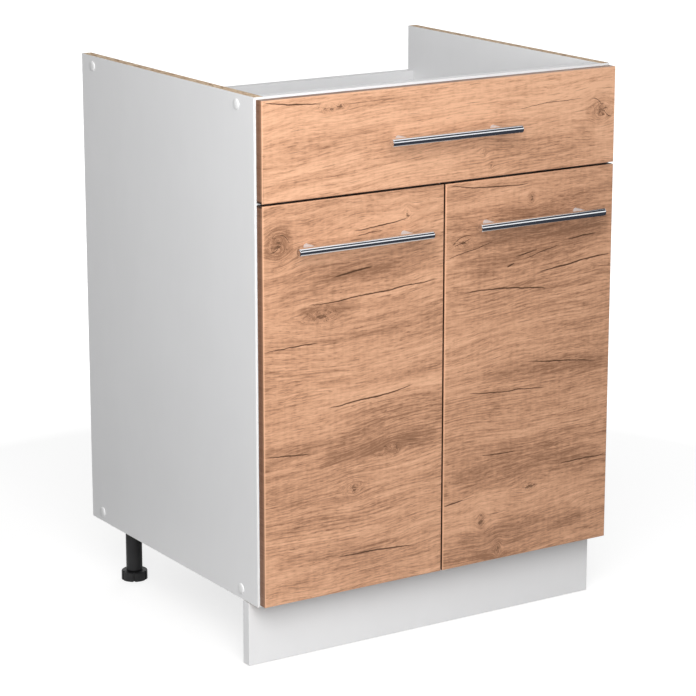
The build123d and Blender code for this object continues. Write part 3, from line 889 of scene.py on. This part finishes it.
SIDE_LOW, SIDE_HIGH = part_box("left_side_panel")
BOARD = SIDE_HIGH.x - SIDE_LOW.x
SIDE_MIDDLE = abs(SIDE_LOW.x + SIDE_HIGH.x) / 2
BOTTOM_LOW, BOTTOM_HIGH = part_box("bottom_panel")
REAR_RAIL_LOW, REAR_RAIL_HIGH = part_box("rear_rail")
FRONT_RAIL_LOW, FRONT_RAIL_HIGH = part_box("front_rail")
PLINTH_LOW, PLINTH_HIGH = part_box("plinth")
CAP_LOW, CAP_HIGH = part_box("screw_caps")
CAP_RADIUS = 7.5 * MM
CAP_DEPTHS = (CAP_LOW.y + CAP_RADIUS, CAP_HIGH.y - CAP_RADIUS)
CAP_HEIGHTS = (CAP_LOW.z + CAP_RADIUS, CAP_HIGH.z - CAP_RADIUS)
OUTER_SIDE = -SIDE_LOW.x
FRONT_ROUNDING = 2.5 * MM
JOINT_LEVEL = (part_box("drawer_front")[0].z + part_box("left_door")[1].z) / 2
SIDES = ("left", "right")
CORNERS = ("front_left", "front_right", "rear_left", "rear_right")

# Where the figure of each front lies, in millimetres from its lower left corner. A knot is (along,
# up, half length, half height). A crack or a dark band is (along, up, reach, rise, bow, half
# width).
DRAWER_KNOTS = ((571, 78, 15, 13), (364, 37, 6, 5), (376, 16, 4, 4), (110, 122, 22, 5))
DRAWER_CRACKS = (
    (2, 135, 94, -6, 1, 0.9),
    (420, 92, 120, 6, 2, 0.4),
    (552, 96, 22, -13, 5, 0.5),
    (574, 80, 16, -12, -4, 0.6),
)
DRAWER_BANDS = (
    (300, 30, 270, 12, 0, 20),
    (90, 118, 170, 4, 0, 7),
    (20, 75, 200, 6, 0, 10),
    (540, 80, 54, -8, 0, 18),
)
LEFT_KNOTS = (
    (23, 515, 15, 17),
    (234, 536, 5, 9),
    (92, 408, 26, 9),
    (211, 199, 17, 9),
    (145, 150, 14, 9),
)
LEFT_CRACKS = (
    (70, 424, 220, 14, -2, 1.0),
    (144, 520, 92, 9, -2, 0.9),
    (150, 512, 44, 3, 1, 0.6),
    (112, 461, 66, 5, 0, 1.5),
    (2, 367, 86, 2, 0, 0.8),
    (100, 274, 148, 14, -2, 1.1),
    (4, 219, 70, -6, 0, 0.9),
    (116, 52, 130, -3, 2, 1.1),
    (10, 506, 20, 13, -5, 0.6),
    (26, 528, 16, -14, 4, 0.6),
)
LEFT_BANDS = (
    (20, 440, 275, 42, 0, 17),
    (50, 412, 110, 4, 0, 9),
    (90, 205, 200, 6, 0, 12),
    (10, 60, 250, -6, 0, 13),
    (1, 515, 48, 0, 0, 22),
)
RIGHT_KNOTS = (
    (27, 482, 13, 6),
    (150, 534, 5, 7),
    (66, 65, 6, 10),
    (98, 15, 6, 11),
    (153, 103, 12, 7),
)
RIGHT_CRACKS = (
    (160, 422, 136, 16, 1, 1.2),
    (28, 408, 158, -12, 5, 1.0),
    (2, 567, 146, -9, -4, 0.8),
    (144, 293, 130, -16, 1, 0.9),
    (40, 260, 142, -9, -1, 0.8),
    (208, 129, 86, 2, 0, 0.9),
    (66, 163, 60, -1, 0, 0.8),
    (1, 98, 34, 3, 0, 1.0),
    (12, 482, 32, 9, 4, 0.6),
    (14, 479, 30, 9, -2, 0.6),
    (4, 463, 80, 17, -2, 0.6),
    (121, 452, 40, 5, 0, 0.9),
    (138, 446, 64, 14, 0, 0.6),
    (214, 466, 54, 5, 1, 0.9),
    (107, 438, 13, 4, 0, 1.2),
)
RIGHT_BANDS = (
    (6, 452, 288, 26, 4, 30),
    (60, 285, 230, -12, 0, 14),
    (10, 140, 280, -8, 0, 20),
    (20, 40, 240, 4, 0, 12),
)


class CABINET_OT_boards(bpy.types.Operator):
    """Finish the laminated boards of the carcass and the plinth"""

    bl_idname = "cabinet.boards"
    bl_label = "Boards"

    def execute(self, context):
        width = context.scene.cabinet.edge.board
        raw = [(Z_AXIS, 1, SIDE_HIGH.z), (Y_AXIS, 1, SIDE_HIGH.y), (Z_AXIS, -1, SIDE_LOW.z)]
        side = white_board("white side board", raw, X_AXIS, SIDE_MIDDLE, mirrored=True)
        for name in SIDES:
            show_board(f"{name}_side_panel", side, width)
        bottom_middle = (BOTTOM_LOW.z + BOTTOM_HIGH.z) / 2
        raw = [(Y_AXIS, 1, BOTTOM_HIGH.y)]
        bottom = white_board("white bottom board", raw, Z_AXIS, bottom_middle)
        show_board("bottom_panel", bottom, width)
        for node, low, high in (
            ("front_rail", FRONT_RAIL_LOW, FRONT_RAIL_HIGH),
            ("rear_rail", REAR_RAIL_LOW, REAR_RAIL_HIGH),
            ("plinth", PLINTH_LOW, PLINTH_HIGH),
        ):
            middle = (low.y + high.y) / 2
            finish = white_board(f"white {node} board", [(Z_AXIS, -1, low.z)], Y_AXIS, middle)
            show_board(node, finish, width)
        return {"FINISHED"}


class CABINET_OT_edge_strips(bpy.types.Operator):
    """Finish the white strips on the front edges of the carcass"""

    bl_idname = "cabinet.edge_strips"
    bl_label = "Edge strips"

    def execute(self, context):
        for node in ("left_edge_band", "right_edge_band", "bottom_edge_band"):
            show_board(node, strip_plastic(), context.scene.cabinet.edge.strip)
        return {"FINISHED"}


class CABINET_OT_fronts(bpy.types.Operator):
    """Finish the drawer front and the doors in oak"""

    bl_idname = "cabinet.fronts"
    bl_label = "Fronts"

    def execute(self, context):
        # Each front's tone is partly its own random tone and partly painted light: the drawer front
        # at the top is painted lighter, and the doors darker, the right door most.
        for node, seed, tone, knots, cracks, bands in (
            ("drawer_front", 3.7, 0.19, DRAWER_KNOTS, DRAWER_CRACKS, DRAWER_BANDS),
            ("left_door", 11.2, -0.01, LEFT_KNOTS, LEFT_CRACKS, LEFT_BANDS),
            ("right_door", 24.9, -0.04, RIGHT_KNOTS, RIGHT_CRACKS, RIGHT_BANDS),
        ):
            show_plain(node, oak_front(f"oak {node}", node, seed, tone, knots, cracks, bands))
        return {"FINISHED"}


class CABINET_OT_handles(bpy.types.Operator):
    """Turn the handle bars and finish their posts and screws"""

    bl_idname = "cabinet.handles"
    bl_label = "Handles"

    def execute(self, context):
        edge = context.scene.cabinet.edge
        for name in ("drawer", "left_door", "right_door"):
            low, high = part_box(f"{name}_handle_bar")
            radius = (high.z - low.z) / 2
            start = (low.x, (low.y + high.y) / 2, (low.z + high.z) / 2)
            length = high.x - low.x
            bm = bmesh.new()
            profile = [(0, 0), (0, radius), (length, radius), (length, 0)]
            turned(bm, profile, start, (1, 0, 0), edge.round_steps)
            ease(bm, sharp_edges(bm), edge.bar_end, BAR_END_STEPS)
            show(bm, f"{name}_handle_bar_turned", chrome(), f"{name}_handle_bar")
            show_plain(f"{name}_handle_posts", silver_lacquer())
            show_plain(f"{name}_handle_screws", zinc())
        return {"FINISHED"}


class CABINET_OT_screw_caps(bpy.types.Operator):
    """Turn the white domed caps on the outside of the sides"""

    bl_idname = "cabinet.screw_caps"
    bl_label = "Screw caps"

    def execute(self, context):
        edge = context.scene.cabinet.edge
        rise = CAP_HIGH.x - OUTER_SIDE
        rim = 0.25 * rise
        profile = [(0, 0), (0, CAP_RADIUS)]
        for step in range(DOME_STEPS):
            turn = math.pi / 2 * step / DOME_STEPS
            profile.append((rim + (rise - rim) * math.sin(turn), CAP_RADIUS * math.cos(turn)))
        profile.append((rise, 0))
        bm = bmesh.new()
        for side in (-1, 1):
            for depth in CAP_DEPTHS:
                for height in CAP_HEIGHTS:
                    centre = (side * OUTER_SIDE, depth, height)
                    turned(bm, profile, centre, (side, 0, 0), edge.round_steps)
        show(bm, "screw_caps_turned", white_plastic(), "screw_caps")
        return {"FINISHED"}


class CABINET_OT_hinges(bpy.types.Operator):
    """Finish the pressed steel of the concealed hinges"""

    bl_idname = "cabinet.hinges"
    bl_label = "Hinges"

    def execute(self, context):
        width = context.scene.cabinet.edge.sheet
        for side in SIDES:
            for kind in ("hinge_cups", "hinge_links", "hinge_arms", "mounting_plates"):
                show_fitting(f"{side}_{kind}", nickel(), width)
            for kind in ("cup_pins", "arm_pins"):
                show_plain(f"{side}_{kind}", nickel())
            for kind in ("cup_screws", "plate_screws", "arm_screws"):
                show_plain(f"{side}_{kind}", zinc())
        return {"FINISHED"}


class CABINET_OT_joinery(bpy.types.Operator):
    """Finish the dowels, cams, screws, spacers and bumpers"""

    bl_idname = "cabinet.joinery"
    bl_label = "Joinery"

    def execute(self, context):
        for node in ("frame_screws", "cam_bolts", "cam_locks", "front_screws"):
            show_plain(node, zinc())
        show_plain("rail_dowels", beech())
        show_plain("front_spacers", black_plastic())
        for side in SIDES:
            show_plain(f"{side}_door_bumpers", clear_plastic())
        return {"FINISHED"}


class CABINET_OT_legs(bpy.types.Operator):
    """Finish the adjustable legs and the plinth's clips"""

    bl_idname = "cabinet.legs"
    bl_label = "Legs"

    def execute(self, context):
        width = context.scene.cabinet.edge.moulding
        for node in ("leg_sockets", "leg_tubes", "plinth_clips"):
            show_fitting(node, black_plastic(), width)
        for corner in CORNERS:
            show_fitting(f"{corner}_foot", black_plastic(), width)
        for node in ("leg_socket_screws", "plinth_clip_screws"):
            show_plain(node, zinc())
        return {"FINISHED"}


class CABINET_OT_stage(bpy.types.Operator):
    """Set out the floor, the lights and the camera"""

    bl_idname = "cabinet.stage"
    bl_label = "Stage"

    def execute(self, context):
        scene = context.scene
        stage = scene.cabinet.stage
        self.floor(scene, stage)
        self.world(scene, stage)
        self.lamps(scene, stage)
        self.camera(scene, stage)
        scene.view_settings.view_transform = "Standard"
        return {"FINISHED"}

    def floor(self, scene, stage):
        """A pale floor that glows white to the camera but keeps the object's shadow."""
        bm = bmesh.new()
        bmesh.ops.create_grid(bm, x_segments=1, y_segments=1, size=FLOOR_HALF)
        mesh = bpy.data.meshes.new("floor")
        bm.to_mesh(mesh)
        bm.free()
        material = bpy.data.materials.new("pale floor")
        material.use_nodes = True
        w = Wiring(material.node_tree)
        shader = material.node_tree.nodes["Principled BSDF"]
        place = w.add("ShaderNodeTexCoord", {}).outputs["Object"]
        rays = w.add("ShaderNodeLightPath", {}).outputs
        seen, mirrored = rays["Is Camera Ray"], rays["Is Glossy Ray"]
        grain = w.noise(place, (3, 3, 3), 2.0, 0.5)
        pale = w.mix(w.fade(grain, 0.3, 0.7), [c * 0.99 for c in stage.floor], stage.floor)
        plain = w.mix(seen, [c * stage.bounce for c in stage.floor], pale)
        reach = w.add("ShaderNodeVectorMath", {0: place}, operation="LENGTH").outputs["Value"]
        shadowy = w.mix(w.fade(reach, *MIRRORED_FLOOR), pale, DARK_STUDIO)
        w.feed(shader.inputs["Base Color"], w.mix(mirrored, plain, shadowy))
        shader.inputs["Roughness"].default_value = 0.9
        shader.inputs["Specular IOR Level"].default_value = 0.0
        level = w.math("MULTIPLY_ADD", seen, stage.glow - stage.ambient, stage.ambient)
        glow_colour = w.mix(mirrored, (1, 1, 1), [c / stage.ambient for c in DARK_STUDIO])
        glow = w.add("ShaderNodeEmission", {"Color": glow_colour, "Strength": level})
        far = w.fade(reach, stage.glow_start, stage.glow_full)
        share = w.math("MAXIMUM", far, w.math("MULTIPLY", seen, stage.glow_share))
        both = w.add("ShaderNodeMixShader", {0: share, 1: shader.outputs[0], 2: glow.outputs[0]})
        out = material.node_tree.nodes["Material Output"]
        w.feed(out.inputs["Surface"], both.outputs[0])
        mesh.materials.append(material)
        floor = bpy.data.objects.new("floor", mesh)
        scene.collection.objects.link(floor)

    def world(self, scene, stage):
        """White to the camera, even light on the object, a dark studio with a strip in metal."""
        world = bpy.data.worlds.new("studio")
        world.use_nodes = True
        scene.world = world
        w = Wiring(world.node_tree)
        rays = w.add("ShaderNodeLightPath", {}).outputs
        rise = w.split(w.add("ShaderNodeTexCoord", {}).outputs["Generated"])[2]
        height = w.math("MULTIPLY_ADD", rise, 0.5, 0.5)
        strip = w.math("MULTIPLY", w.fade(height, *STRIP_FOOT), w.fade(height, *STRIP_HEAD))
        above = w.fade(height, *CEILING)
        studio = w.mix(w.math("MAXIMUM", strip, above), DARK_STUDIO, BRIGHT_STUDIO)
        light = w.mix(rays["Is Glossy Ray"], (stage.ambient,) * 3, studio)
        seen = w.math("MAXIMUM", rays["Is Camera Ray"], rays["Is Transmission Ray"])
        w.feed(world.node_tree.nodes["Background"].inputs["Color"], w.mix(seen, light, (1, 1, 1)))

    def lamps(self, scene, stage):
        """Square lamps that light the object but don't show in metal."""
        for name, power, place in (
            ("softbox", stage.softbox, stage.softbox_place),
            ("fill", stage.fill, stage.fill_place),
        ):
            light = bpy.data.lights.new(name, "AREA")
            light.size = stage.lamp_size
            light.energy = power
            lamp = bpy.data.objects.new(name, light)
            lamp.location = place
            beam = Vector(stage.lamp_aim) - lamp.location
            lamp.rotation_euler = beam.to_track_quat("-Z", "Y").to_euler()
            lamp.visible_glossy = False
            scene.collection.objects.link(lamp)

    def camera(self, scene, stage):
        lens = bpy.data.cameras.new("camera")
        lens.lens = stage.lens
        camera = bpy.data.objects.new("camera", lens)
        level = math.cos(stage.elevation)
        aside, behind = math.sin(stage.azimuth) * level, -math.cos(stage.azimuth) * level
        back = Vector((aside, behind, math.sin(stage.elevation)))
        camera.location = Vector((0, stage.aim_depth, stage.aim_height)) + back * stage.distance
        camera.rotation_euler = (-back).to_track_quat("-Z", "Y").to_euler()
        scene.collection.objects.link(camera)
        scene.camera = camera


STEPS = (
    CABINET_OT_boards,
    CABINET_OT_edge_strips,
    CABINET_OT_fronts,
    CABINET_OT_handles,
    CABINET_OT_screw_caps,
    CABINET_OT_hinges,
    CABINET_OT_joinery,
    CABINET_OT_legs,
    CABINET_OT_stage,
)


class CABINET_PT_pieces(bpy.types.Panel):
    """Settings and steps of the cabinet"""

    bl_idname = "CABINET_PT_pieces"
    bl_label = "Kitchen Base Cabinet"
    bl_space_type = "VIEW_3D"
    bl_region_type = "UI"
    bl_category = "Cabinet"

    def draw(self, context):
        for step in STEPS:
            self.layout.operator(step.bl_idname)
        for name in ("oak", "board", "fitting", "edge", "stage"):
            group = getattr(context.scene.cabinet, name)
            box = self.layout.box()
            for key in group.__annotations__:
                box.prop(group, key)


GROUPS = (OakFinish, BoardFinish, FittingFinish, EdgeSizes, StageSettings, CabinetSettings)
CLASSES = (*GROUPS, *STEPS, CABINET_PT_pieces)


def register():
    for each in CLASSES:
        bpy.utils.register_class(each)
    bpy.types.Scene.cabinet = PointerProperty(type=CabinetSettings)


def unregister():
    del bpy.types.Scene.cabinet
    for each in reversed(CLASSES):
        bpy.utils.unregister_class(each)


def main():
    register()
    bpy.ops.cabinet.boards()
    bpy.ops.cabinet.edge_strips()
    bpy.ops.cabinet.fronts()
    bpy.ops.cabinet.handles()
    bpy.ops.cabinet.screw_caps()
    bpy.ops.cabinet.hinges()
    bpy.ops.cabinet.joinery()
    bpy.ops.cabinet.legs()
    bpy.ops.cabinet.stage()


if __name__ == "__main__":
    main()
